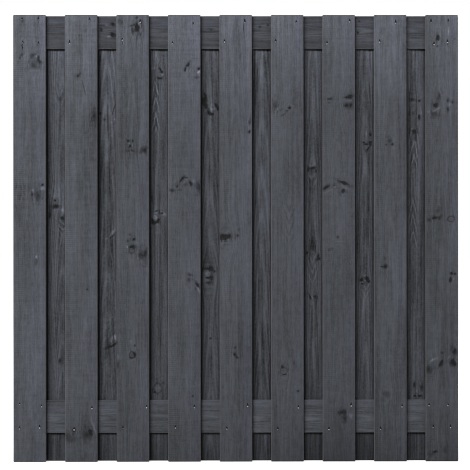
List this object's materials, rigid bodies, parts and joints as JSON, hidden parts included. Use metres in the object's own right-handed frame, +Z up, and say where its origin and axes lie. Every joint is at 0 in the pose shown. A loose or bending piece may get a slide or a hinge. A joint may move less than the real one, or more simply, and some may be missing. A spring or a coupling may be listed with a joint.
{
  "type": "garden screen panel",
  "caption": "Board-on-board timber screen panel: upright boards nailed to the front and the back of two rails, staggered so that they hide the view but pass the wind.",
  "frame": {"origin": "on the ground under the middle of the panel, which stands on the boards' bottom ends", "axes": "+X to the right along the panel, -Y out of its front face, +Z up"},
  "size_m": [1.793, 0.045, 1.8],
  "materials": {
    "front_board_1": "planed softwood under an anthracite stain, matt",
    "front_board_2": "planed softwood under an anthracite stain, matt",
    "front_board_3": "planed softwood under an anthracite stain, matt",
    "front_board_4": "planed softwood under an anthracite stain, matt",
    "front_board_5": "planed softwood under an anthracite stain, matt",
    "front_board_6": "planed softwood under an anthracite stain, matt",
    "front_board_7": "planed softwood under an anthracite stain, matt",
    "front_board_8": "planed softwood under an anthracite stain, matt",
    "front_board_9": "planed softwood under an anthracite stain, matt",
    "back_board_1": "planed softwood under an anthracite stain, matt",
    "back_board_2": "planed softwood under an anthracite stain, matt",
    "back_board_3": "planed softwood under an anthracite stain, matt",
    "back_board_4": "planed softwood under an anthracite stain, matt",
    "back_board_5": "planed softwood under an anthracite stain, matt",
    "back_board_6": "planed softwood under an anthracite stain, matt",
    "back_board_7": "planed softwood under an anthracite stain, matt",
    "back_board_8": "planed softwood under an anthracite stain, matt",
    "top_rail": "planed softwood under an anthracite stain, matt",
    "bottom_rail": "planed softwood under an anthracite stain, matt",
    "top_rail_front_nails": "dull stainless steel",
    "top_rail_back_nails": "dull stainless steel",
    "bottom_rail_front_nails": "dull stainless steel",
    "bottom_rail_back_nails": "dull stainless steel"
  },
  "bodies": {
    "root": {"front_board_1": "front_board_1", "front_board_2": "front_board_2", "front_board_3": "front_board_3", "front_board_4": "front_board_4", "front_board_5": "front_board_5", "front_board_6": "front_board_6", "front_board_7": "front_board_7", "front_board_8": "front_board_8", "front_board_9": "front_board_9", "back_board_1": "back_board_1", "back_board_2": "back_board_2", "back_board_3": "back_board_3", "back_board_4": "back_board_4", "back_board_5": "back_board_5", "back_board_6": "back_board_6", "back_board_7": "back_board_7", "back_board_8": "back_board_8", "top_rail": "top_rail", "bottom_rail": "bottom_rail", "top_rail_front_nails": "top_rail_front_nails", "top_rail_back_nails": "top_rail_back_nails", "bottom_rail_front_nails": "bottom_rail_front_nails", "bottom_rail_back_nails": "bottom_rail_back_nails"}
  },
  "joints": []
}
